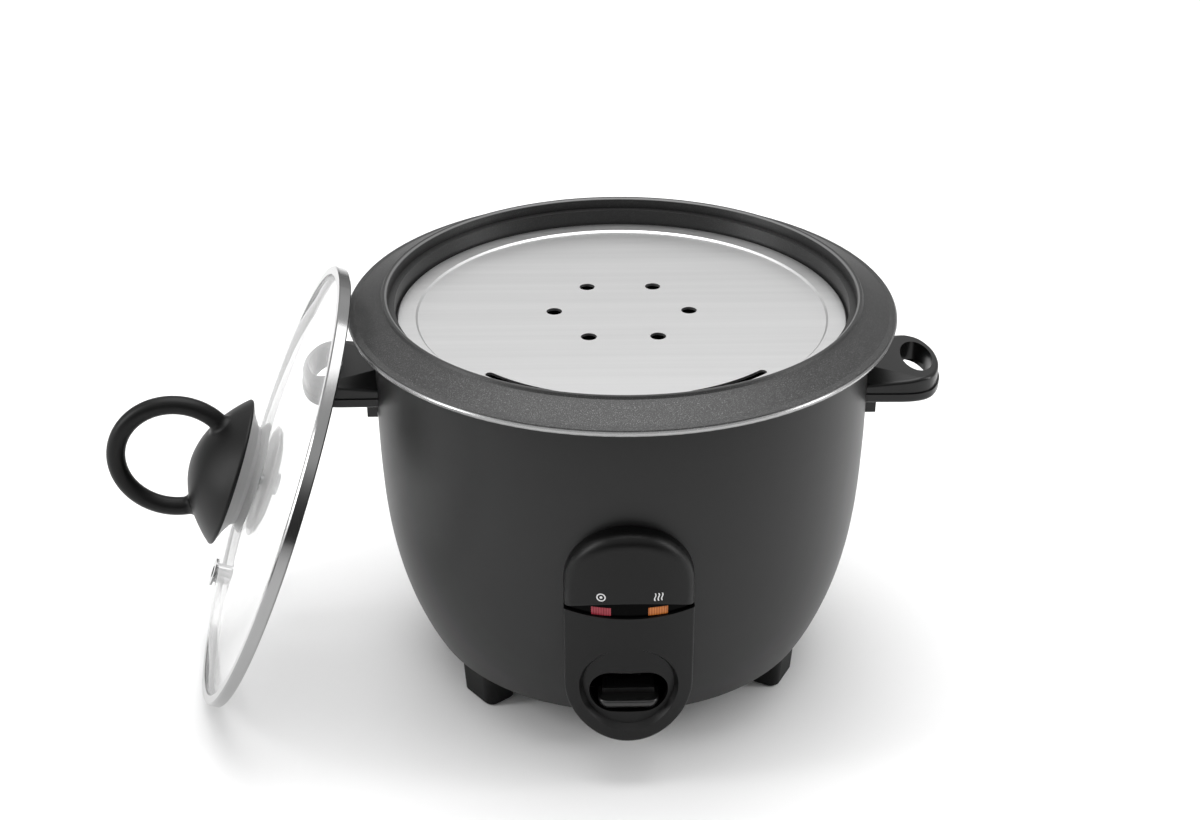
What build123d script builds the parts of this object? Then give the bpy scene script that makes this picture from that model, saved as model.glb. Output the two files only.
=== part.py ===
from build123d import *
import math
import os

# Electric egg cooker of the small drum kind: a painted bowl-shaped body with two side
# handles, a control tower at the front, a removable inner pot with a steamer plate, and
# a glass lid that stands on its rim against the left side. Millimetres, +Z up. The origin
# is on the axis of the pot at the height of the table; the control tower faces -Y.

os.makedirs("parts", exist_ok=True)

# ---- driving dimensions -------------------------------------------------------------
sheet = 0.8
running_fit = 0.05

shell_bottom_z = 17.6
shell_top_z = 150.0
shell_profile = [(79.3, 17.6), (87.8, 38.2), (93.6, 65.6), (95.6, 98.0), (95.6, 127.0), (94.4, 150.0)]
shell_lip_radius = 91.4

pot_crest_z = 160.0
pot_floor_z = 60.0
pot_wall = 1.5
pot_inner_radius = 83.5
pot_flange_radius = 105.0
insert_seat_z = 148.2
insert_seat_radius = 86.9
lid_seat_z = 155.6
lid_seat_radius = 89.6

liner_step_z = 143.0
liner_bottom_z = 52.0
liner_inner_radius = 86.3
liner_upper_radius = 89.6

plate_radius = 66.0
plate_top_z = 60.0
plate_bottom_z = 50.0
element_radius = 47.0
element_tube = 3.3

cap_radius = 16.5
lever_pivot_y = -32.0
lever_pivot_z = 36.0
lever_z = 39.0
lever_thickness = 1.5

base_z = 18.6
inlet_z = 37.5
base_thickness = 2.0
base_radius = 77.4

tower_half_width = 23.4
tower_front_y = -104.0
tower_side_y = -98.5
tower_top_z = 111.5
tower_bottom_z = 22.7
tower_wall = 2.0
cover_top_z = 77.5
cover_corner_z = 78.8
hood_corner_z = 79.4
hood_edge_z = 84.0
dish_z = 46.2
dish_depth = 2.4
strip_depth = 1.2
slot_z = 43.5
slot_length = 28.8
slot_height = 17.4
lens_x = 10.15
lens_width = 7.0
lens_height = 3.25
lens_z = 79.65

handle_top_z = 128.4
handle_bottom_z = 118.4
handle_bead = 3.9
handle_hollow = 2.3

lid_radius = 89.0
lid_band_height = 4.6
lid_lean = 22.2
lid_turn = 6.0
lid_foot_x = -168.5
lid_centre_y = -20.0
glass_thickness = 3.4
glass_rise = 10.6
ring_radius = 22.5
ring_tube = 3.6

foot_angles = (218.5, 331.5, 95.0)
foot_radial = 13.0
foot_width = 18.4
foot_outer = 75.2


def turn(*points, section=Plane.XZ, axis=Axis.Z, mode=Mode.ADD):
    """Turn a closed outline of (radius, height) points about an axis."""
    with BuildSketch(section) as outline:
        with BuildLine():
            Polyline(*points, close=True)
        make_face()
    revolve(outline.sketch, axis=axis, mode=mode)


def block(x_range, y_range, z_range, mode=Mode.ADD):
    """A plain block between two values on each axis."""
    centre = [(low + high) / 2 for low, high in (x_range, y_range, z_range)]
    with Locations(tuple(centre)):
        Box(x_range[1] - x_range[0], y_range[1] - y_range[0], z_range[1] - z_range[0], mode=mode)


def post(radius, low, high, at=(0, 0), mode=Mode.ADD):
    """An upright cylinder between two heights."""
    with Locations((at[0], at[1], (low + high) / 2)):
        Cylinder(radius, high - low, mode=mode)


# ---- painted body -------------------------------------------------------------------

# the outside form of the body as a solid, which cuts everything that hugs the body
with BuildPart() as body_form:
    with BuildSketch(Plane.XZ):
        with BuildLine():
            wall = Spline(*[(radius + 0.05, z) for radius, z in shell_profile])
            Polyline(wall @ 1, (0, shell_top_z), (0, shell_bottom_z), wall @ 0)
        make_face()
    revolve(axis=Axis.Z)

with BuildPart() as body_shell:
    inner_points = [(radius - 0.88, z) for radius, z in shell_profile[1:-1]]
    hem_inner = (shell_profile[0][0] - 0.5, shell_bottom_z + sheet)
    lip_inner = (shell_profile[-1][0] - 0.9, shell_top_z - sheet)
    with BuildSketch(Plane.XZ):
        with BuildLine():
            outside = Spline(*shell_profile)
            Polyline(outside @ 1, (shell_lip_radius, shell_top_z), (shell_lip_radius, lip_inner[1]), lip_inner)
            Spline(lip_inner, *reversed(inner_points), hem_inner)
            Polyline(hem_inner, (base_radius + 0.1, hem_inner[1]), (base_radius + 0.1, shell_bottom_z), outside @ 0)
        make_face()
    revolve(axis=Axis.Z)
    # openings for the lever and the lamps, for the inlet and for the handle screws
    block((-16, 16), (-110, -70), (34, 88), mode=Mode.SUBTRACT)
    block((-12.2, 12.2), (70, 100), (inlet_z - 10.2, inlet_z + 10.2), mode=Mode.SUBTRACT)
    with Locations(*[Location((0, y, 122.0), (0, 90, 0)) for y in (-10, 10)]):
        Cylinder(2.0, 220, mode=Mode.SUBTRACT)

with BuildPart() as inner_liner:
    turn(
        (58.0, plate_bottom_z - sheet),
        (liner_inner_radius + sheet, plate_bottom_z - sheet),
        (liner_inner_radius + sheet, liner_step_z - sheet),
        (liner_upper_radius + sheet, liner_step_z - sheet),
        (liner_upper_radius + sheet, shell_top_z),
        (94.0, shell_top_z),
        (94.0, shell_top_z + sheet),
        (liner_upper_radius, shell_top_z + sheet),
        (liner_upper_radius, liner_step_z),
        (liner_inner_radius, liner_step_z),
        (liner_inner_radius, plate_bottom_z),
        (58.0, plate_bottom_z),
    )

# ---- base, feet and their fasteners --------------------------------------------------

foot_centre_radius = foot_outer - foot_radial / 2
foot_places = [
    Location(
        (
            foot_centre_radius * math.cos(math.radians(angle)),
            foot_centre_radius * math.sin(math.radians(angle)),
            0,
        ),
        (0, 0, angle),
    )
    for angle in foot_angles
]

post_angles = (15, 165, 195, 345)
post_places = [(70 * math.cos(math.radians(a)), 70 * math.sin(math.radians(a))) for a in post_angles]

with BuildPart() as base_cover:
    with BuildSketch(Plane.XY.offset(base_z)):
        Circle(base_radius)
        with PolarLocations(50, 16):
            SlotOverall(22, 3, mode=Mode.SUBTRACT)
        with PolarLocations(22, 8):
            SlotOverall(14, 3, mode=Mode.SUBTRACT)
        with Locations(*foot_places):
            Circle(1.7, mode=Mode.SUBTRACT)
        with Locations(*post_places):
            Circle(1.6, mode=Mode.SUBTRACT)
    extrude(amount=base_thickness)

with BuildPart() as feet:
    with BuildSketch():
        with Locations(*foot_places):
            RectangleRounded(foot_radial, foot_width, 3.5)
    extrude(amount=base_z, taper=-4)
    chamfer(feet.faces().filter_by(Plane.XY).group_by(Axis.Z)[0].edges(), 1.0)
    with BuildSketch():
        with Locations(*foot_places):
            Circle(3.6)
    extrude(amount=8.0, mode=Mode.SUBTRACT)
    with BuildSketch():
        with Locations(*foot_places):
            Circle(1.7)
    extrude(amount=base_z, mode=Mode.SUBTRACT)

with BuildPart() as foot_screws:
    with BuildSketch(Plane.XY.offset(6.0)):
        with Locations(*foot_places):
            Circle(3.2)
    extrude(amount=2.0)
    with BuildSketch(Plane.XY.offset(8.0)):
        with Locations(*foot_places):
            Circle(1.6)
    extrude(amount=16.0)

with BuildPart() as stand_posts:
    for place in post_places:
        post(3.2, base_z + base_thickness, plate_bottom_z - sheet, place)
        post(1.55, base_z + base_thickness, base_z + base_thickness + 10, place, Mode.SUBTRACT)

with BuildPart() as post_screws:
    for place in post_places:
        post(3.0, base_z - 1.8, base_z, place)
        post(1.5, base_z, base_z + base_thickness + 8, place)

# ---- heating plate with its sheathed element -----------------------------------------

element_z = plate_bottom_z + 0.4

with BuildPart() as heating_plate:
    turn(
        (17.5, plate_bottom_z),
        (plate_radius, plate_bottom_z),
        (plate_radius, plate_top_z - 2.5),
        (plate_radius - 2.5, plate_top_z),
        (17.5, plate_top_z),
    )
    with Locations((0, 0, element_z)):
        Torus(element_radius, element_tube + 0.1, mode=Mode.SUBTRACT)

with BuildPart() as heating_element:
    with Locations((0, 0, element_z)):
        Torus(element_radius, element_tube)
    block((-16, 16), (30, 60), (40, 60), mode=Mode.SUBTRACT)

end_y = math.sqrt(element_radius**2 - 16**2)
with BuildPart() as element_terminals:
    for side in (-1, 1):
        with BuildSketch(Plane(origin=(side * 16, end_y, element_z), z_dir=(-side, 0, 0))):
            Circle(1.2)
        extrude(amount=7.0)

with BuildPart() as keep_warm_heater:
    block((-30, -12), (23, 29), (45, plate_bottom_z))
    fillet(keep_warm_heater.edges().filter_by(Axis.X), 1.0)

with BuildPart() as thermal_fuse:
    with Locations(Location((0, 34, 47.4), (0, 90, 0))):
        Cylinder(2.0, 14)

with BuildPart() as fuse_clip:
    block((-3, 3), (31.2, 36.8), (44.6, plate_bottom_z))
    with Locations(Location((0, 34, 47.4), (0, 90, 0))):
        Cylinder(2.05, 10, mode=Mode.SUBTRACT)

# ---- magnetic thermostat in the middle of the plate ----------------------------------

with BuildPart() as thermostat_cap:
    turn(
        (0, plate_top_z - 1.2),
        (cap_radius - 1.0, plate_top_z - 1.2),
        (cap_radius - 1.0, 50.6),
        (cap_radius, 50.6),
        (cap_radius, plate_top_z - 0.8),
        (cap_radius - 0.8, plate_top_z),
        (0, plate_top_z),
    )

with BuildPart() as thermostat_ferrite:
    post(12.0, 53.8, plate_top_z - 1.2)
    post(2.6, 53.8, plate_top_z - 1.2, mode=Mode.SUBTRACT)

with BuildPart() as thermostat_housing:
    turn((0, 45), (15.0, 45), (15.0, 49), (24, 49), (24, 50), (15.0, 50), (15.0, 52), (13.8, 52), (13.8, 46), (0, 46))
    post(2.08, 44, 47, mode=Mode.SUBTRACT)

with BuildPart() as thermostat_magnet:
    post(11.4, 50.6, 53.7)
    post(2.0, 50.6, 53.7, mode=Mode.SUBTRACT)

with BuildPart() as release_rod:
    post(2.0, 35.0, 53.7)
    post(4.0, 37.6, 38.6)
    post(4.0, 42.2, 43.2)

with BuildPart() as cap_spring:
    with BuildLine():
        coil = Helix(pitch=1.7, height=5.1, radius=14.4, center=(0, 0, 52.5))
    with BuildSketch(Plane(origin=coil @ 0, z_dir=coil % 0)):
        Circle(0.4)
    sweep()

# ---- cook lever and its switch --------------------------------------------------------

lever_low = lever_z + 0.65
lever_high = lever_low + lever_thickness

with BuildPart() as lever_arm:
    block((-5, 5), (-92, 6), (lever_low, lever_high))
    block((-2.4, 2.4), (-2.4, 7), (lever_low, lever_high), mode=Mode.SUBTRACT)
    for side in (-1, 1):
        block((side * 4.6 - 0.4, side * 4.6 + 0.4), (lever_pivot_y - 4.5, lever_pivot_y + 4.5), (32.4, lever_low))
    with Locations(Location((0, lever_pivot_y, lever_pivot_z), (0, 90, 0))):
        Cylinder(1.5 + running_fit, 12, mode=Mode.SUBTRACT)

with BuildPart() as lever_paddle:
    block((-11.2, 11.2), (-102.6, -92.5), (35.5, 40.2))
    fillet(lever_paddle.edges().filter_by(Axis.Y).group_by(Axis.Z)[0], 4.0)
    fillet(lever_paddle.edges().filter_by(Axis.Z).group_by(Axis.Y)[0], 4.0)
    fillet(lever_paddle.faces().sort_by(Axis.Z)[-1].edges(), 0.8)
    # the neck that takes the arm
    block((-9.5, 9.5), (-97.5, -89.6), (37.4, 42.6))
    block((-5, 5), (-92, -87), (lever_low, lever_high), mode=Mode.SUBTRACT)

with BuildPart() as lever_bracket:
    block((-7.2, 7.2), (lever_pivot_y - 5, lever_pivot_y + 5), (49, plate_bottom_z))
    for side in (-1, 1):
        block((side * 6.7 - 0.5, side * 6.7 + 0.5), (lever_pivot_y - 5, lever_pivot_y + 5), (31.5, 49))
    with Locations(Location((0, lever_pivot_y, lever_pivot_z), (0, 90, 0))):
        Cylinder(1.5 + running_fit, 20, mode=Mode.SUBTRACT)

with BuildPart() as pivot_pin:
    with Locations(Location((0, lever_pivot_y, lever_pivot_z), (0, 90, 0))):
        Cylinder(1.5, 17)
    with Locations(Location((8.5, lever_pivot_y, lever_pivot_z), (0, 90, 0))):
        Cylinder(2.4, 1.0)

switch_y = -50.0
with BuildPart() as microswitch:
    block((-3.1, 3.1), (switch_y - 10, switch_y + 10), (24, 34))
    post(1.3, 31, 34, (0, switch_y), Mode.SUBTRACT)
    with Locations(*[Location((0, switch_y + y, 27), (0, 90, 0)) for y in (-6, 6)]):
        Cylinder(1.2, 8, mode=Mode.SUBTRACT)

with BuildPart() as switch_plunger:
    post(1.2, 31.2, lever_low - 0.1, (0, switch_y))
    fillet(switch_plunger.edges().group_by(Axis.Z)[-1], 0.4)

with BuildPart() as switch_bracket:
    block((-12, 12), (switch_y - 10, switch_y + 10), (base_z + base_thickness, base_z + base_thickness + 1))
    block((3.1, 4.1), (switch_y - 10, switch_y + 10), (base_z + base_thickness, 32))
    with Locations(*[Location((0, switch_y + y, 27), (0, 90, 0)) for y in (-6, 6)]):
        Cylinder(1.2, 12, mode=Mode.SUBTRACT)

# ---- wiring terminals and rear inlet --------------------------------------------------

with BuildPart() as terminal_block:
    block((14, 44), (38, 48), (base_z + base_thickness, base_z + base_thickness + 11))
    with Locations(*[(x, 43, base_z + base_thickness + 11) for x in (19, 29, 39)]):
        Hole(2.4, depth=6)

with BuildPart() as power_inlet:
    block((-16.5, 16.5), (80, 92.4), (inlet_z - 13.5, inlet_z + 13.5))
    fillet(power_inlet.edges().filter_by(Axis.Y), 3.0)
    fillet(power_inlet.faces().sort_by(Axis.Y)[-1].edges(), 1.0)
    add(body_form.part, mode=Mode.SUBTRACT)
    block((-12, 12), (66, 90), (inlet_z - 10, inlet_z + 10))
    with BuildSketch(Plane(origin=(0, 92.4, inlet_z), x_dir=(-1, 0, 0), z_dir=(0, 1, 0))):
        RectangleRounded(20, 14, 2.5)
    extrude(amount=-18, mode=Mode.SUBTRACT)
    with Locations(*[(x, 70, inlet_z) for x in (-6, 6)]):
        Box(2.1, 12, 4.1, mode=Mode.SUBTRACT)

with BuildPart() as inlet_pins:
    with Locations(*[(x, 74, inlet_z) for x in (-6, 6)]):
        Box(2.0, 24, 4.0)

# ---- control tower --------------------------------------------------------------------

bow_sagitta = tower_side_y - tower_front_y
bow_radius = (tower_half_width**2 + bow_sagitta**2) / (2 * bow_sagitta)
bow_centre_y = tower_front_y + bow_radius


def tower_plan(inset, z):
    """Plan of the tower seen from above: a bowed front and straight sides."""
    half = tower_half_width - inset
    radius = bow_radius - inset
    side_y = bow_centre_y - math.sqrt(radius**2 - half**2)
    with BuildSketch(Plane.XY.offset(z)) as plan:
        with BuildLine():
            ThreePointArc((-half, side_y), (0, bow_centre_y - radius), (half, side_y))
            Polyline((half, side_y), (half, -70), (-half, -70), (-half, side_y))
        make_face()
    return plan.sketch


def tower_outline(inset):
    """Front outline of the tower: an arch above and a half circle below."""
    half = tower_half_width - inset
    bottom = tower_bottom_z + inset
    top = tower_top_z - inset
    with BuildSketch(Plane.XZ.offset(60)) as outline:
        with BuildLine():
            ThreePointArc((-half, bottom + half), (0, bottom), (half, bottom + half))
            Line((half, bottom + half), (half, top - half))
            ThreePointArc((half, top - half), (0, top), (-half, top - half))
            Line((-half, top - half), (-half, bottom + half))
        make_face()
    return outline.sketch


with BuildPart() as tower_hollow:
    extrude(tower_plan(5.0, tower_bottom_z + tower_wall), amount=55)
    extrude(tower_outline(tower_wall), amount=60, mode=Mode.INTERSECT)

with BuildPart() as tower_hood:
    extrude(tower_plan(0, tower_bottom_z - 5), amount=tower_top_z - tower_bottom_z + 10)
    extrude(tower_outline(0), amount=60, mode=Mode.INTERSECT)
    # the lower edge of the hood rises towards the middle
    with BuildSketch(Plane.XZ.offset(60)):
        with BuildLine():
            ThreePointArc((-24, hood_corner_z), (0, hood_edge_z), (24, hood_corner_z))
            Polyline((24, hood_corner_z), (24, 0), (-24, 0), (-24, hood_corner_z))
        make_face()
    extrude(amount=60, mode=Mode.SUBTRACT)
    rim = tower_hood.faces().sort_by(Axis.Y)[0].edges().filter_by(lambda e: e.center().Z > hood_edge_z + 1)
    fillet(rim, 5.0)
    add(body_form.part, mode=Mode.SUBTRACT)
    extrude(tower_plan(strip_depth - 0.1, 73.5), amount=13, mode=Mode.SUBTRACT)
    block((-17.5, 17.5), (-100.2, -80), (86, 97), mode=Mode.SUBTRACT)

# the space in front of the floor of the finger dish, with sloping sides
with BuildPart() as dish_form:
    for y, half_x, half_z in ((-98, 16.1, 14.0), (-106, 21.7, 19.6)):
        with BuildSketch(Plane.XZ.offset(-y)):
            with Locations((0, dish_z)):
                Ellipse(half_x, half_z)
    loft()
    extrude(tower_plan(dish_depth, 20), amount=60, mode=Mode.SUBTRACT)

with BuildPart() as tower_cover:
    extrude(tower_plan(0, tower_bottom_z - 5), amount=tower_top_z - tower_bottom_z + 10)
    extrude(tower_outline(0), amount=60, mode=Mode.INTERSECT)
    # the upper edge of the cover dips towards the middle
    with BuildSketch(Plane.XZ.offset(60)):
        with BuildLine():
            ThreePointArc((-24, cover_corner_z), (0, cover_top_z), (24, cover_corner_z))
            Polyline((24, cover_corner_z), (24, 130), (-24, 130), (-24, cover_corner_z))
        make_face()
    extrude(amount=60, mode=Mode.SUBTRACT)
    fillet(tower_cover.faces().sort_by(Axis.Y)[0].edges().filter_by(lambda e: e.center().Z < cover_top_z - 1), 1.2)
    add(body_form.part, mode=Mode.SUBTRACT)
    # hollow for the lever and the lamps
    add(tower_hollow.part, mode=Mode.SUBTRACT)
    # the seat of the light strip
    extrude(tower_plan(strip_depth - 0.1, 73.5), amount=10, mode=Mode.SUBTRACT)
    # finger dish around the lever, and the opening that the lever moves in
    add(dish_form.part, mode=Mode.SUBTRACT)
    with BuildSketch(Plane.XZ.offset(85)):
        with Locations((0, slot_z)):
            SlotOverall(slot_length, slot_height)
    extrude(amount=30, mode=Mode.SUBTRACT)


def bowed_strip(outer, inner, half_width, low, high, mode=Mode.ADD):
    """A strip that follows the bowed front of the tower, by its depths from the front."""
    with BuildSketch(Plane.XY.offset(low)) as strip:
        with Locations((0, bow_centre_y)):
            Circle(bow_radius - outer)
            Circle(bow_radius - inner, mode=Mode.SUBTRACT)
        with Locations((0, tower_front_y)):
            Rectangle(2 * half_width, 24, mode=Mode.INTERSECT)
    extrude(strip.sketch, amount=high - low, mode=mode)


lens_windows = [(-lens_x, lens_z), (lens_x, lens_z)]
with BuildPart() as light_strip:
    bowed_strip(strip_depth, 3.4, 20.8, 74.0, 86.0)
    with BuildSketch(Plane.XZ.offset(60)):
        with Locations(*lens_windows):
            Rectangle(lens_width + 0.1, lens_height + 0.1)
    extrude(amount=60, mode=Mode.SUBTRACT)


def lens(x):
    """A rectangular lens that fills its window in the light strip."""
    bowed_strip(strip_depth - 0.05, 3.4, 20.8, lens_z - lens_height / 2, lens_z + lens_height / 2)
    block((x - lens_width / 2, x + lens_width / 2), (-110, -90), (70, 90), mode=Mode.INTERSECT)


with BuildPart() as lens_cook:
    lens(-lens_x)

with BuildPart() as lens_warm:
    lens(lens_x)

with BuildPart() as indicator_lamps:
    with Locations(*[Location((x, -93.6, lens_z), (90, 0, 0)) for x in (-lens_x, lens_x)]):
        Cylinder(2.2, 10)

# ---- side handles ----------------------------------------------------------------------


def handle_plan(z, grow):
    """Plan of a handle seen from above, grown or shrunk all round."""
    with BuildSketch(Plane.XY.offset(z)) as plan:
        with BuildLine():
            side = Spline(
                (88, -19.8 - grow),
                (104, -20.4 - grow),
                (112, -20.1 - grow),
                (118.4 + 0.6 * grow, -17.4 - 0.8 * grow),
                (122.5 + 0.87 * grow, -10.3 - 0.5 * grow),
                (124.1 + grow, 0),
                tangents=[(1, -0.1), (0, 1)],
            )
            mirror(side, about=Plane.XZ)
            Line((88, -19.8 - grow), (88, 19.8 + grow))
        make_face()
    return plan.sketch


with BuildPart() as handle_right:
    extrude(handle_plan(handle_bottom_z, 0), amount=handle_top_z - handle_bottom_z)
    # shoulders fall away on both sides of the raised pad around the hole
    for side in (-1, 1):
        with BuildSketch(Plane(origin=(97, side * 8.6, handle_top_z), z_dir=(-18.9, side * 33, 180))):
            Rectangle(90, 90)
        extrude(amount=12, mode=Mode.SUBTRACT)
    top_rim = handle_right.edges().filter_by(lambda e: e.center().X > 96 and e.center().Z > handle_top_z - 3.2)
    fillet(top_rim, 1.4)
    # a raised bead runs round the lower half
    extrude(handle_plan(handle_bottom_z, 0.7), amount=handle_bead)
    bead_rim = handle_right.faces().sort_by(Axis.Z)[0].edges().filter_by(lambda e: e.center().X > 92)
    fillet(bead_rim, 1.8)
    # the underside is hollowed inside a rim
    extrude(handle_plan(handle_bottom_z, -2.6), amount=handle_hollow, mode=Mode.SUBTRACT)
    block((88, 99), (-13, 13), (110.5, handle_top_z - 4))
    with BuildSketch(Plane.XY.offset(handle_bottom_z)):
        with Locations((115.8, 0)):
            Ellipse(6.0, 12.6)
    extrude(amount=20, mode=Mode.SUBTRACT)
    add(body_form.part, mode=Mode.SUBTRACT)
    with Locations(*[Location((99, y, 122.0), (0, 90, 0)) for y in (-10, 10)]):
        Cylinder(1.85, 12, mode=Mode.SUBTRACT)

with BuildPart() as handle_left:
    add(handle_right.part.mirror(Plane.YZ))

with BuildPart() as handle_screws:
    with Locations(*[Location((side * 97.8, y, 122.0), (0, 90, 0)) for side in (-1, 1) for y in (-10, 10)]):
        Cylinder(1.8, 13)
    with Locations(*[Location((side * 91.2, y, 122.0), (0, 90, 0)) for side in (-1, 1) for y in (-10, 10)]):
        Cylinder(3.2, 2)

# ---- inner pot and steamer plate ---------------------------------------------------------

with BuildPart() as inner_pot:
    corner = 12.0
    outer_radius = pot_inner_radius + pot_wall
    with BuildSketch(Plane.XZ):
        with BuildLine():
            FilletPolyline(
                (0, pot_floor_z + pot_wall),
                (pot_inner_radius, pot_floor_z + pot_wall),
                (pot_inner_radius, insert_seat_z),
                radius=corner,
            )
            Polyline(
                (pot_inner_radius, insert_seat_z),
                (insert_seat_radius, insert_seat_z),
                (insert_seat_radius, lid_seat_z),
                (lid_seat_radius, lid_seat_z),
                (lid_seat_radius, pot_crest_z - 0.6),
                (lid_seat_radius + 0.6, pot_crest_z),
                (lid_seat_radius + 1.8, pot_crest_z),
                (lid_seat_radius + 2.4, pot_crest_z - 0.9),
                (pot_flange_radius - 3.0, 154.3),
                (pot_flange_radius - 0.8, 153.9),
                (pot_flange_radius, 153.0),
                (pot_flange_radius - 0.4, 151.8),
                (pot_flange_radius - 2.4, 151.2),
                (pot_flange_radius - 3.6, 152.6),
                (lid_seat_radius + 1.7, 157.6),
                (lid_seat_radius + 1.4, 154.1),
                (insert_seat_radius + pot_wall, 154.1),
                (insert_seat_radius + pot_wall, insert_seat_z - pot_wall),
                (outer_radius, insert_seat_z - pot_wall),
            )
            FilletPolyline(
                (outer_radius, insert_seat_z - pot_wall),
                (outer_radius, pot_floor_z),
                (0, pot_floor_z),
                radius=corner + pot_wall,
            )
            Line((0, pot_floor_z), (0, pot_floor_z + pot_wall))
        make_face()
    revolve(axis=Axis.Z)

steam_slots = [CenterArc((0, 0), 72.0, angle - 12, 24) for angle in (239, 301)]
with BuildPart() as steamer_plate:
    turn(
        (0, 147.9), (78.2, 147.9), (79.0, insert_seat_z), (86.0, insert_seat_z), (86.3, 149.0),
        (85.8, 149.6), (79.2, 149.6), (78.4, 149.0), (0, 149.0),
    )
    with BuildSketch(Plane.XY.offset(147)):
        for slot_line in steam_slots:
            SlotArc(slot_line, height=3.2)
        with PolarLocations(26, 6):
            Circle(3.0)
    extrude(amount=4, mode=Mode.SUBTRACT)

# ---- lid, standing on its rim against the left side ----------------------------------------

lean = math.radians(lid_lean)
turned = math.radians(lid_turn)
lid_normal = Vector(-math.cos(lean) * math.cos(turned), -math.cos(lean) * math.sin(turned), math.sin(lean))
lid_up = Vector(math.sin(lean) * math.cos(turned), math.sin(lean) * math.sin(turned), math.cos(lean))
lid_centre = Vector(lid_foot_x, lid_centre_y, 0) + lid_up * lid_radius
lid_plane = Plane(origin=lid_centre, x_dir=lid_up, z_dir=lid_normal)
lid_section = Plane(origin=lid_centre, x_dir=lid_up, z_dir=lid_plane.y_dir * -1)
lid_axis = Axis(lid_centre, lid_normal)
vent_place = (-60.5, 21.0)


def lid_turn_points(*points, mode=Mode.ADD):
    """Turn an outline of (radius, height) points about the axis of the lid."""
    turn(*points, section=lid_section, axis=lid_axis, mode=mode)


with BuildPart() as lid_glass:
    with BuildSketch(lid_section):
        with BuildLine():
            Line((88.3, 0.65), (88.3, 4.0))
            Line((88.3, 4.0), (84.0, 4.0))
            Spline((84.0, 4.0), (68.0, 8.2), (44.0, 10.1), (0, glass_rise), tangents=[(-1, 0.1), (-1, 0)])
            Line((0, glass_rise), (0, glass_rise - glass_thickness))
            Spline(
                (0, glass_rise - glass_thickness), (44.0, 10.1 - glass_thickness), (67.5, 8.2 - glass_thickness),
                (83.6, 0.65), tangents=[(1, 0), (1, -0.1)],
            )
            Line((83.6, 0.65), (88.3, 0.65))
        make_face()
    revolve(axis=lid_axis)
    with BuildSketch(lid_plane):
        Circle(4.2)
        with Locations(vent_place):
            Circle(4.2)
    extrude(amount=20, mode=Mode.SUBTRACT)

with BuildPart() as lid_band:
    lid_turn_points(
        (85.4, 0), (lid_radius - 0.5, 0), (lid_radius, 0.5), (lid_radius, lid_band_height - 0.5),
        (lid_radius - 0.5, lid_band_height), (85.4, lid_band_height), (85.4, 4.05),
        (88.35, 4.05), (88.35, 0.6), (85.4, 0.6),
    )

# the vent sits square to the glass where the dome begins to fall away
vent_height = 8.9
with BuildPart() as vent_grommet:
    with BuildSketch(lid_plane.offset(vent_height + 0.85)):
        with Locations(vent_place):
            Circle(5.8)
    extrude(amount=0.8)
    with BuildSketch(lid_plane.offset(vent_height - 5.6)):
        with Locations(vent_place):
            Circle(4.15)
    extrude(amount=6.45)
    with BuildSketch(lid_plane.offset(vent_height - 5.9)):
        with Locations(vent_place):
            Circle(5.4)
    extrude(amount=0.8)
    with BuildSketch(lid_plane):
        with Locations(vent_place):
            Circle(2.4)
    extrude(amount=20, mode=Mode.SUBTRACT)

bell_z = 19.0
def at_ring_foot(place):
    """Whether a place in the lid's own frame is where the ring grows out of the bell."""
    return 24 < place.Z < 33 and abs(place.X) > 8


with BuildPart() as lid_knob:
    ring_centre = lid_plane.from_local_coords((0, 0, 41.6))
    with Locations(Plane(origin=ring_centre, x_dir=lid_up, z_dir=lid_plane.y_dir)):
        Torus(ring_radius, ring_tube)
    with BuildSketch(lid_plane.offset(bell_z)):
        Circle(40)
    extrude(amount=-15, mode=Mode.SUBTRACT)
    with BuildSketch(lid_section):
        with BuildLine():
            Spline(
                (0, 35.7), (8.5, 34.4), (14.5, 32.0), (21.7, 27.3), (26.4, 23.2), (28.4, 21.1),
                tangents=[(1, 0), (1, -1.1)],
            )
            Spline((28.4, 21.1), (29.3, 19.8), (28.7, bell_z), tangents=[(1, -1.1), (-1, -0.3)])
            Polyline((28.7, bell_z), (0, bell_z), (0, 35.7))
        make_face()
    revolve(axis=lid_axis)
    with BuildSketch(lid_plane.offset(bell_z)):
        Circle(2.05)
    extrude(amount=9, mode=Mode.SUBTRACT)
    ring_feet = lid_knob.edges().filter_by(lambda e: at_ring_foot(lid_plane.to_local_coords(e.center())))
    fillet(ring_feet, 3.0)

with BuildPart() as knob_spacer:
    lid_turn_points(
        (2.3, glass_rise + 0.1), (22.4, glass_rise + 0.1), (21.2, 11.9), (19.4, 13.2), (20.4, 14.8), (24.0, 17.0),
        (28.4, bell_z), (2.3, bell_z),
    )

with BuildPart() as knob_washer:
    seat = glass_rise - glass_thickness - 0.35
    lid_turn_points(
        (2.3, seat), (22.2, seat), (22.4, seat - 0.5), (20.6, seat - 1.9), (16.6, seat - 3.2), (9, seat - 4.0),
        (2.3, seat - 4.0),
    )

with BuildPart() as knob_screw:
    with BuildSketch(lid_plane.offset(seat - 6.2)):
        Circle(4.4)
    extrude(amount=2.2)
    with BuildSketch(lid_plane.offset(seat - 4.0)):
        Circle(2.0)
    extrude(amount=bell_z + 8 - seat + 4.0)

# ---- write every piece ---------------------------------------------------------------------

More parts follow.
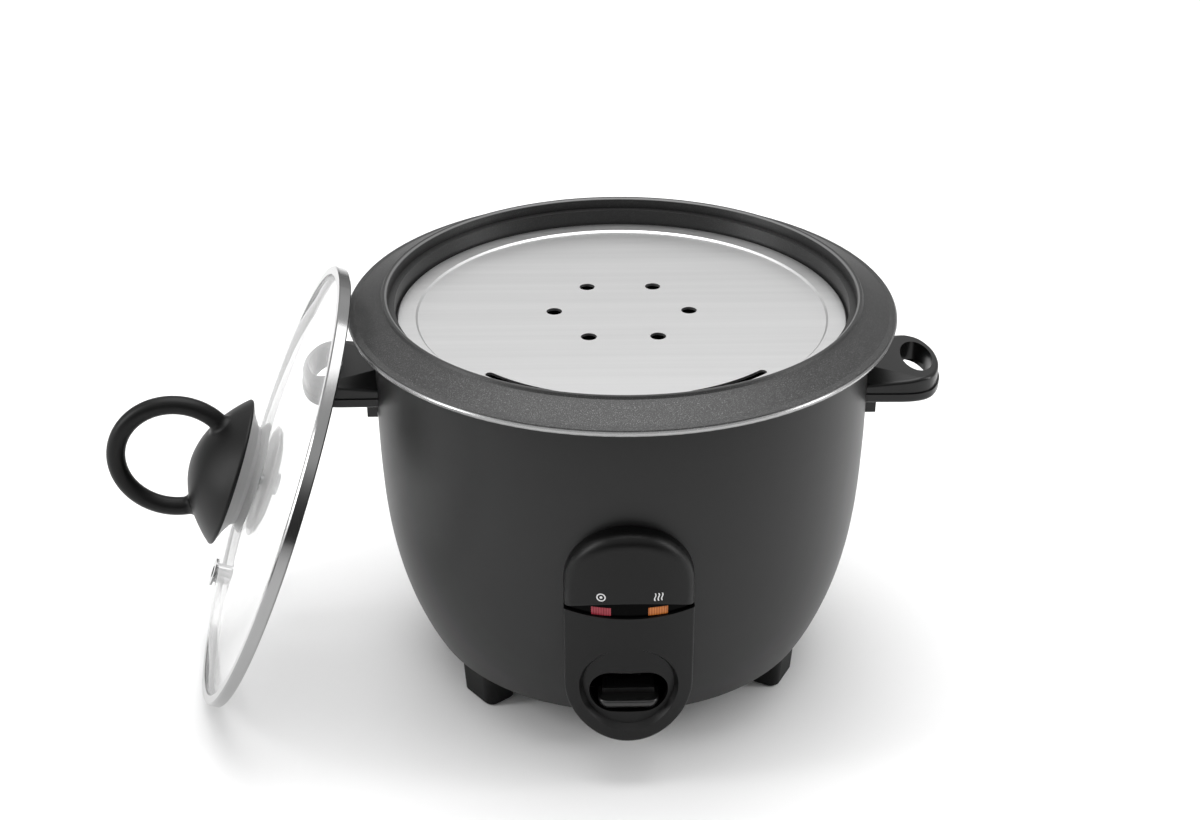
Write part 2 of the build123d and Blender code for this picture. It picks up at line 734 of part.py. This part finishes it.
pieces = {
    "body_shell": body_shell,
    "inner_liner": inner_liner,
    "base_cover": base_cover,
    "feet": feet,
    "foot_screws": foot_screws,
    "stand_posts": stand_posts,
    "post_screws": post_screws,
    "heating_plate": heating_plate,
    "heating_element": heating_element,
    "element_terminals": element_terminals,
    "keep_warm_heater": keep_warm_heater,
    "thermal_fuse": thermal_fuse,
    "fuse_clip": fuse_clip,
    "thermostat_cap": thermostat_cap,
    "thermostat_ferrite": thermostat_ferrite,
    "thermostat_housing": thermostat_housing,
    "thermostat_magnet": thermostat_magnet,
    "release_rod": release_rod,
    "cap_spring": cap_spring,
    "lever_arm": lever_arm,
    "lever_paddle": lever_paddle,
    "lever_bracket": lever_bracket,
    "pivot_pin": pivot_pin,
    "microswitch": microswitch,
    "switch_plunger": switch_plunger,
    "switch_bracket": switch_bracket,
    "terminal_block": terminal_block,
    "power_inlet": power_inlet,
    "inlet_pins": inlet_pins,
    "tower_hood": tower_hood,
    "tower_cover": tower_cover,
    "light_strip": light_strip,
    "lens_cook": lens_cook,
    "lens_warm": lens_warm,
    "indicator_lamps": indicator_lamps,
    "handle_right": handle_right,
    "handle_left": handle_left,
    "handle_screws": handle_screws,
    "inner_pot": inner_pot,
    "steamer_plate": steamer_plate,
    "lid_glass": lid_glass,
    "lid_band": lid_band,
    "vent_grommet": vent_grommet,
    "lid_knob": lid_knob,
    "knob_spacer": knob_spacer,
    "knob_washer": knob_washer,
    "knob_screw": knob_screw,
}

for name, piece in pieces.items():
    piece.part.label = name
    export_step(piece.part, f"parts/{name}.step")
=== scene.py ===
import math

import bmesh
import bpy
from mathutils import Matrix, Vector


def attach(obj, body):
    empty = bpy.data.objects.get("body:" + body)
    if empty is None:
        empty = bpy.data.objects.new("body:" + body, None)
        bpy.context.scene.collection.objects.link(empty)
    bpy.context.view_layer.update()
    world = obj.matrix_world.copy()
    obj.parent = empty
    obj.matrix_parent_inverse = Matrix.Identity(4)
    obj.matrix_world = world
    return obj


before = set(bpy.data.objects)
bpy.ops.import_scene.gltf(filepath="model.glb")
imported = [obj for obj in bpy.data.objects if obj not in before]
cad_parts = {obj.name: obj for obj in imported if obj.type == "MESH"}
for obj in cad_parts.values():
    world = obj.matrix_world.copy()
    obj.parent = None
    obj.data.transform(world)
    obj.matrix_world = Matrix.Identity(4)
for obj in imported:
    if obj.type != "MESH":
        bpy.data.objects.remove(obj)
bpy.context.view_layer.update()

MM = 0.001

# ---- camera, light and floor ----------------------------------------------------------


def stand(name, data, place, aim):
    """Puts a camera or a lamp at a place and turns it to what it looks at."""
    obj = bpy.data.objects.new(name, data)
    bpy.context.scene.collection.objects.link(obj)
    obj.location = place
    obj.rotation_mode = "QUATERNION"
    obj.rotation_quaternion = (Vector(aim) - Vector(place)).to_track_quat("-Z", "Y")
    return obj


def camera(place, aim, lens):
    data = bpy.data.cameras.new("camera")
    data.lens = lens
    data.sensor_width = 36.0
    data.clip_start, data.clip_end = 0.01, 500.0
    bpy.context.scene.camera = stand("camera", data, place, aim)


def softbox(name, place, size, power):
    data = bpy.data.lights.new(name, "AREA")
    data.shape = "RECTANGLE"
    data.size, data.size_y = size
    data.energy = power
    stand(name, data, place, LAMP_AIM)


TURN, TILT = math.radians(-1.2), math.radians(28.4)
DISTANCE, LENS = 0.7, 52.8
AIM_REACH, AIM_HEIGHT = 0.00835, 0.10546
LAMP_AIM = (0, 0, 0.1)

aim = Vector((-AIM_REACH * math.cos(TURN), -AIM_REACH * math.sin(TURN), AIM_HEIGHT))
away = Vector((math.sin(TURN) * math.cos(TILT), -math.cos(TURN) * math.cos(TILT), math.sin(TILT)))
camera(aim + away * DISTANCE, aim, LENS)

softbox("overhead", (0.0, 0.25, 1.5), (1.4, 1.4), 20.0)
softbox("left_window", (-1.4, -0.3, 0.7), (0.35, 1.0), 9.0)
softbox("right_window", (1.4, -0.2, 0.6), (0.3, 1.0), 6.5)

bpy.context.scene.view_settings.view_transform = "Standard"

# ---- finishes -------------------------------------------------------------------------


class Tone:
    """A value in a finish, which plain arithmetic works on."""

    def __init__(self, finish, socket):
        self.finish = finish
        self.socket = socket

    def _math(self, operation, first, second):
        return self.finish.node("ShaderNodeMath", {"operation": operation}, first, second)

    def __add__(self, other):
        return self._math("ADD", self, other)

    __radd__ = __add__

    def __sub__(self, other):
        return self._math("SUBTRACT", self, other)

    def __rsub__(self, other):
        return self._math("SUBTRACT", other, self)

    def __mul__(self, other):
        return self._math("MULTIPLY", self, other)

    __rmul__ = __mul__

    def __pow__(self, other):
        return self._math("POWER", self, other)


class Finish:
    """A node material, or the studio round the object, under construction."""

    def __init__(self, name, studio=False):
        self.material = bpy.data.worlds.new(name) if studio else bpy.data.materials.new(name)
        self.material.use_nodes = True
        self.tree = self.material.node_tree
        self.tree.nodes.clear()
        self.output = self.tree.nodes.new("ShaderNodeOutputWorld" if studio else "ShaderNodeOutputMaterial")
        self.place = self.node("ShaderNodeTexCoord", out="Generated" if studio else "Object")

    def node(self, kind, settings=None, *values, out=0, **named):
        made = self.tree.nodes.new(kind)
        for key, value in (settings or {}).items():
            setattr(made, key, value)
        pairs = list(enumerate(values)) + [(key.replace("_", " "), value) for key, value in named.items()]
        for key, value in pairs:
            if value is None:
                continue
            if isinstance(value, Tone):
                self.tree.links.new(value.socket, made.inputs[key])
            else:
                made.inputs[key].default_value = value
        return Tone(self, made.outputs[out])

    # building blocks that several finishes share

    def axis(self, index):
        return self.node("ShaderNodeSeparateXYZ", None, self.place, out=index)

    def radius(self):
        x, y = self.axis(0), self.axis(1)
        return (x * x + y * y) ** 0.5

    def stretched(self, scale):
        return self.node("ShaderNodeVectorMath", {"operation": "MULTIPLY"}, self.place, scale)

    def noise(self, scale, detail=2.0, roughness=0.5, place=None):
        vector = place or self.place
        return self.node(
            "ShaderNodeTexNoise", None, Vector=vector, Scale=scale, Detail=detail, Roughness=roughness
        )

    def ease(self, value, low, high):
        settings = {"interpolation_type": "SMOOTHSTEP"}
        return self.node("ShaderNodeMapRange", settings, value, low, high, 0.0, 1.0)

    def blend(self, factor, first, second):
        """A colour between two colours; numbers in a colour are linear."""
        made = self.tree.nodes.new("ShaderNodeMix")
        made.data_type = "RGBA"
        for key, value in ((0, factor), (6, first), (7, second)):
            if isinstance(value, Tone):
                self.tree.links.new(value.socket, made.inputs[key])
            else:
                made.inputs[key].default_value = value if key == 0 else (*value, 1.0)
        return Tone(self, made.outputs[2])

    def relief(self, height, depth, strength=1.0):
        return self.node("ShaderNodeBump", None, Height=height, Distance=depth, Strength=strength)

    def surface(self, **inputs):
        """The one shader of the finish, from its varying and its constant inputs."""
        shader = self.tree.nodes.new("ShaderNodeBsdfPrincipled")
        for key, value in inputs.items():
            target = shader.inputs[key.replace("_", " ")]
            if isinstance(value, Tone):
                self.tree.links.new(value.socket, target)
            elif isinstance(value, tuple) and len(value) == 3 and target.type == "RGBA":
                target.default_value = (*value, 1.0)
            else:
                target.default_value = value
        self.tree.links.new(shader.outputs[0], self.output.inputs[0])
        return self.material


def grey(value):
    return (value, value, value)


def studio():
    """Bright overhead, greyer towards the horizon, darkest at the front."""
    f = Finish("studio", studio=True)
    height = f.ease(f.axis(2), 0.05, 0.62)
    front = f.ease(0.0 - f.axis(1), 0.15, 0.75) * (1 - f.ease(f.axis(2), 0.30, 0.70))
    left = f.ease(0.0 - f.axis(0), 0.55, 0.90) * (1 - f.ease(f.axis(2), 0.25, 0.60))
    glow = (0.34 + height * 0.76) * (1 - front * 0.78) + left * 0.18
    lamp = f.node("ShaderNodeBackground", None, f.blend(glow, grey(0.0), grey(1.0)), 0.85)
    f.tree.links.new(lamp.socket, f.output.inputs[0])
    bpy.context.scene.world = f.material


def body_paint():
    """Satin charcoal lacquer with a faint orange peel."""
    f = Finish("charcoal_lacquer")
    cloud = f.noise(14.0, 3.0)
    peel = f.noise(900.0, 2.0)
    return f.surface(
        Base_Color=f.blend(cloud, grey(0.0085), grey(0.0105)),
        Roughness=0.36 + cloud * 0.06,
        Normal=f.relief(peel, 0.00001, 0.4),
        Specular_IOR_Level=0.30,
    )


ROLLED_EDGE = 104.4 * MM
LIP_INSIDE, LIP_OUTSIDE, LIP_LEVEL = 89.6 * MM, 90.2 * MM, 159.0 * MM
CREST_START, CREST_FULL = 90.5 * MM, 94.5 * MM


def pot_coating():
    """Dark coating with metallic flecks, dimmed on the inner wall as painted shade; the crest lip carries a
    painted highlight, and the rolled edge is bare bright metal whose bright grey is also a painted
    highlight.
    """
    f = Finish("flecked_coating")
    r, z = f.radius(), f.axis(2)
    fleck = f.ease(f.noise(3600.0, 1.0), 0.58, 0.74)
    fine = f.ease(f.noise(7000.0, 1.0), 0.60, 0.75)
    # bare metal on the rolled edge; its bright grey also stands as a painted highlight along the edge
    bare_edge_and_highlight = f.ease(r, ROLLED_EDGE, ROLLED_EDGE + 0.4 * MM)
    inside = f.ease(r, LIP_INSIDE, LIP_INSIDE + 0.2 * MM)
    outside = f.ease(r, LIP_OUTSIDE, LIP_OUTSIDE + 0.4 * MM)
    # painted highlight: the top of the crest lip is lightened to pale grey, standing for the light that
    # catches it
    lip = inside * (1 - outside) * f.ease(z, LIP_LEVEL, LIP_LEVEL + 0.6 * MM)
    # painted shade: flecks are dimmed to a quarter on the inner wall inside the crest and brighten to full
    # across the flange slope
    crest_shade_fade = f.ease(r, CREST_START, CREST_FULL)
    coated = f.blend((fleck * 0.6 + fine * 0.5) * (0.25 + crest_shade_fade * 0.75), grey(0.020), grey(0.24))
    lip_highlight = f.blend(lip * 0.5, coated, grey(0.30))
    return f.surface(
        Base_Color=f.blend(bare_edge_and_highlight, lip_highlight, grey(0.36)),
        Metallic=0.35 + bare_edge_and_highlight * 0.6,
        Roughness=0.42 - bare_edge_and_highlight * 0.20 + fleck * 0.05,
        Normal=f.relief(fleck, 0.00001, 0.3),
    )


def brushed_aluminium():
    """Sheet brushed in one direction."""
    f = Finish("brushed_aluminium")
    streak = f.noise(1.0, 3.0, 0.65, f.stretched((30.0, 2600.0, 30.0)))
    broad = f.noise(1.0, 2.0, 0.5, f.stretched((4.0, 260.0, 4.0)))
    return f.surface(
        Base_Color=f.blend(broad, grey(0.60), grey(0.70)),
        Metallic=1.0,
        Roughness=0.30 + streak * 0.14,
        Normal=f.relief(streak, 0.00001, 0.5),
    )


def spun_aluminium(name="spun_aluminium", low=0.55, high=0.72):
    """Metal turned on a lathe, with fine rings about the upright axis."""
    f = Finish(name)
    turned = f.node("ShaderNodeCombineXYZ", None, f.radius() * 2500.0, f.axis(2) * 2500.0, 0.0)
    ring = f.noise(1.0, 3.0, 0.6, turned)
    stain = f.noise(22.0, 4.0, 0.6)
    return f.surface(
        Base_Color=f.blend(stain, grey(low), grey(high)),
        Metallic=1.0,
        Roughness=0.32 + ring * 0.12 + stain * 0.06,
        Normal=f.relief(ring, 0.00002, 0.5),
    )


def polished_steel():
    """Polished stainless steel with faint smudges."""
    f = Finish("polished_steel")
    smudge = f.noise(40.0, 4.0, 0.6)
    return f.surface(
        Base_Color=f.blend(smudge, grey(0.27), grey(0.32)),
        Metallic=1.0,
        Roughness=0.09 + smudge * 0.07,
    )


def pressed_steel():
    """Zinc-plated pressings and screws."""
    f = Finish("zinc_plated_steel")
    cloud = f.noise(120.0, 4.0, 0.6)
    scratch = f.noise(1.0, 2.0, 0.5, f.stretched((200.0, 3000.0, 200.0)))
    return f.surface(
        Base_Color=f.blend(cloud, (0.42, 0.43, 0.45), (0.58, 0.58, 0.58)),
        Metallic=1.0,
        Roughness=0.30 + cloud * 0.18,
        Normal=f.relief(scratch, 0.00001, 0.4),
    )


def moulded_plastic(name, tone=0.012, roughness=0.42, grain_size=1600.0, depth=0.00004, shine=0.3):
    """Black moulded plastic with a fine spark texture."""
    f = Finish(name)
    grain = f.noise(grain_size, 3.0, 0.6)
    cloud = f.noise(35.0, 3.0)
    return f.surface(
        Base_Color=f.blend(cloud, grey(tone), grey(tone * 1.4)),
        Roughness=roughness + cloud * 0.08,
        Normal=f.relief(grain, depth, 0.5),
        Specular_IOR_Level=shine,
    )


def clear_glass():
    """Tempered lid glass; its reflection is painted as a faint milky white veil that grows more opaque at
    grazing angles.
    """
    f = Finish("lid_glass")
    wave = f.noise(30.0, 2.0)
    grazing_sheen = f.node("ShaderNodeLayerWeight", None, 0.5, out="Facing")
    return f.surface(
        # painted reflection: a near-white colour shown at low opacity, thickest at grazing angles
        Base_Color=f.blend(wave, grey(0.86), grey(0.90)),
        Alpha=0.10 + grazing_sheen ** 4.0 * 0.45,
        Roughness=0.03,
        Specular_IOR_Level=0.8,
    )


def silicone():
    """Milky translucent silicone."""
    f = Finish("milky_silicone")
    cloud = f.noise(60.0, 3.0)
    return f.surface(
        Base_Color=f.blend(cloud, grey(0.62), grey(0.72)),
        Roughness=0.35 + cloud * 0.1,
        Transmission_Weight=0.45,
        IOR=1.41,
    )


def lens_plastic(name, deep, light):
    """Tinted lens with fine ribs inside; the ribs and a noise mix in a lighter tint as a painted highlight,
    and the lens gives off a faint painted glow of its tint.
    """
    f = Finish(name)
    rib = f.node("ShaderNodeMath", {"operation": "SINE"}, f.axis(0) * 7000.0) * 0.5 + 0.5
    edge = f.noise(500.0, 2.0)
    # painted highlight in the lighter tint, and a faint painted glow through the emission
    tint_with_highlight = f.blend(rib * 0.4 + edge * 0.5, deep, light)
    return f.surface(
        Base_Color=tint_with_highlight, Roughness=0.16 + edge * 0.08, Emission_Color=tint_with_highlight, Emission_Strength=0.15,
        Specular_IOR_Level=0.3,
    )


def speckled(name, dark, light, metallic=0.0, roughness=0.5, scale=300.0):
    """Plain matte stuff with a fine speckle, for the parts inside."""
    f = Finish(name)
    speck = f.noise(scale, 4.0, 0.65)
    return f.surface(
        Base_Color=f.blend(speck, dark, light),
        Metallic=metallic,
        Roughness=roughness + speck * 0.12,
        Normal=f.relief(speck, 0.00005, 0.4),
    )


def white_floor():
    f = Finish("studio_floor")
    cloud = f.noise(2.0, 2.0)
    return f.surface(Base_Color=f.blend(cloud, grey(0.86), grey(0.88)), Roughness=0.75 + cloud * 0.05)


def dress(node, material):
    """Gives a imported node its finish."""
    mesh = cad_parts[node].data
    mesh.materials.clear()
    mesh.materials.append(material)


studio()
steel = pressed_steel()
polished = polished_steel()
tower_plastic = moulded_plastic("tower_plastic", 0.0016, 0.34, 1600.0, 0.00002, 0.22)
handle_plastic = moulded_plastic("handle_plastic", 0.0025, 0.26, 1400.0, 0.00002, 0.32)
knob_plastic = moulded_plastic("knob_plastic", 0.0022, 0.38, 1800.0, 0.00002, 0.20)
base_plastic = moulded_plastic("base_plastic", 0.0030, 0.50, 1200.0, 0.00004, 0.20)
spun = spun_aluminium()
rubber_milk = silicone()
finishes = {
    body_paint(): ["body_shell"],
    pot_coating(): ["inner_pot"],
    brushed_aluminium(): ["steamer_plate"],
    spun: ["inner_liner", "heating_plate", "thermostat_cap"],
    polished: ["lid_band", "vent_grommet"],
    steel: [
        "foot_screws", "stand_posts", "post_screws", "handle_screws", "knob_screw",
        "lever_arm", "lever_bracket", "pivot_pin", "switch_bracket", "fuse_clip",
        "thermostat_housing", "release_rod", "cap_spring",
    ],
    tower_plastic: ["tower_hood", "tower_cover"],
    moulded_plastic("paddle_plastic", 0.0040, 0.26, 1600.0, 0.00001, 0.55): ["lever_paddle"],
    handle_plastic: ["handle_left", "handle_right"],
    knob_plastic: ["lid_knob"],
    base_plastic: ["base_cover", "feet", "power_inlet", "microswitch", "terminal_block"],
    moulded_plastic("gloss_strip", 0.0006, 0.16, 500.0, 0.000005, 0.03): ["light_strip"],
    lens_plastic("red_lens", (0.10, 0.003, 0.007), (0.42, 0.045, 0.07)): ["lens_cook"],
    lens_plastic("amber_lens", (0.20, 0.030, 0.002), (0.68, 0.24, 0.05)): ["lens_warm"],
    clear_glass(): ["lid_glass"],
    rubber_milk: ["knob_spacer", "knob_washer"],
    speckled("sheathed_element", (0.10, 0.085, 0.075), (0.20, 0.17, 0.15), 0.8, 0.45): ["heating_element"],
    speckled("ferrite", grey(0.02), grey(0.05), 0.2, 0.5): [
        "thermostat_ferrite", "thermostat_magnet",
    ],
    speckled("ceramic", (0.62, 0.60, 0.55), (0.75, 0.73, 0.68), 0.0, 0.6): [
        "keep_warm_heater", "indicator_lamps",
    ],
    speckled("brass", (0.55, 0.38, 0.14), (0.70, 0.50, 0.20), 1.0, 0.28): [
        "inlet_pins", "element_terminals",
    ],
    speckled("fuse_case", (0.45, 0.45, 0.46), (0.6, 0.6, 0.6), 0.9, 0.35): ["thermal_fuse"],
    speckled("switch_button", (0.30, 0.02, 0.02), (0.42, 0.04, 0.03), 0.0, 0.45): ["switch_plunger"],
}
for material, nodes in finishes.items():
    for node in nodes:
        dress(node, material)

# ---- printed signs over the two lamps ----------------------------------------------------

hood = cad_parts["tower_hood"]
SIGN_LIFT, SIGN_INK = 0.03 * MM, 0.05 * MM
SIGN_HEIGHT, SIGN_LEVEL, SIGN_SIDE = 3.2 * MM, 86.4 * MM, 10.15 * MM
STROKE_GAP, STROKE_SWAY = 1.25 * MM, 0.22 * MM


def wrap_on_hood(mesh):
    """Lays a flat sign, drawn in the upright plane, on the bowed front of the hood."""
    for vertex in mesh.verts:
        found, spot, _, _ = hood.ray_cast((vertex.co.x, -0.2, vertex.co.z), (0, 1, 0))
        if found:
            vertex.co.y = spot.y - SIGN_LIFT


def printed_sign(name, mesh, side):
    bmesh.ops.remove_doubles(mesh, verts=mesh.verts, dist=1e-6)
    bmesh.ops.rotate(mesh, verts=mesh.verts, cent=(0, 0, 0), matrix=Matrix.Rotation(math.pi / 2, 3, "X"))
    bmesh.ops.translate(mesh, verts=mesh.verts, vec=(side * SIGN_SIDE, 0, SIGN_LEVEL))
    wrap_on_hood(mesh)
    bmesh.ops.recalc_face_normals(mesh, faces=mesh.faces)
    if sum(face.normal.y for face in mesh.faces) > 0:
        bmesh.ops.reverse_faces(mesh, faces=mesh.faces)
    bmesh.ops.solidify(mesh, geom=mesh.faces[:], thickness=-SIGN_INK)
    bmesh.ops.recalc_face_normals(mesh, faces=mesh.faces)
    data = bpy.data.meshes.new(name)
    mesh.to_mesh(data)
    mesh.free()
    data.materials.append(sign_ink)
    sign = bpy.data.objects.new(name, data)
    bpy.context.scene.collection.objects.link(sign)
    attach(sign, "cooker_body")


def ring_sign():
    """A ring with a dot in it, for cooking."""
    mesh = bmesh.new()
    inner = mesh.verts.new((SIGN_HEIGHT * 0.38, 0, 0))
    outer = mesh.verts.new((SIGN_HEIGHT * 0.52, 0, 0))
    edge = mesh.edges.new((inner, outer))
    bmesh.ops.spin(
        mesh, geom=[inner, outer, edge], cent=(0, 0, 0), axis=(0, 0, 1),
        angle=math.tau, steps=36, use_merge=True,
    )
    bmesh.ops.create_circle(mesh, cap_ends=True, segments=18, radius=SIGN_HEIGHT * 0.16)
    return mesh


def wave_sign():
    """Three wavy strokes of warm air, for keeping warm."""
    mesh = bmesh.new()
    for place in (-STROKE_GAP, 0.0, STROKE_GAP):
        stroke = bmesh.ops.create_grid(mesh, x_segments=1, y_segments=12, size=SIGN_HEIGHT / 2)["verts"]
        bmesh.ops.scale(mesh, verts=stroke, vec=(0.14, 1.0, 1.0))
        for vertex in stroke:
            vertex.co.x += place + STROKE_SWAY * math.sin(vertex.co.y / SIGN_HEIGHT * math.tau)
    return mesh


sign_ink = speckled("sign_ink", grey(0.66), grey(0.78), 0.0, 0.55, 2500.0)
printed_sign("cook_sign", ring_sign(), -1)
printed_sign("warm_sign", wave_sign(), 1)

# ---- floor ----------------------------------------------------------------------------

FLOOR_REACH = 60.0
floor_mesh = bmesh.new()
bmesh.ops.create_grid(floor_mesh, x_segments=1, y_segments=1, size=FLOOR_REACH)
floor_data = bpy.data.meshes.new("floor")
floor_mesh.to_mesh(floor_data)
floor_mesh.free()
floor = bpy.data.objects.new("floor", floor_data)
bpy.context.scene.collection.objects.link(floor)
floor_data.materials.append(white_floor())
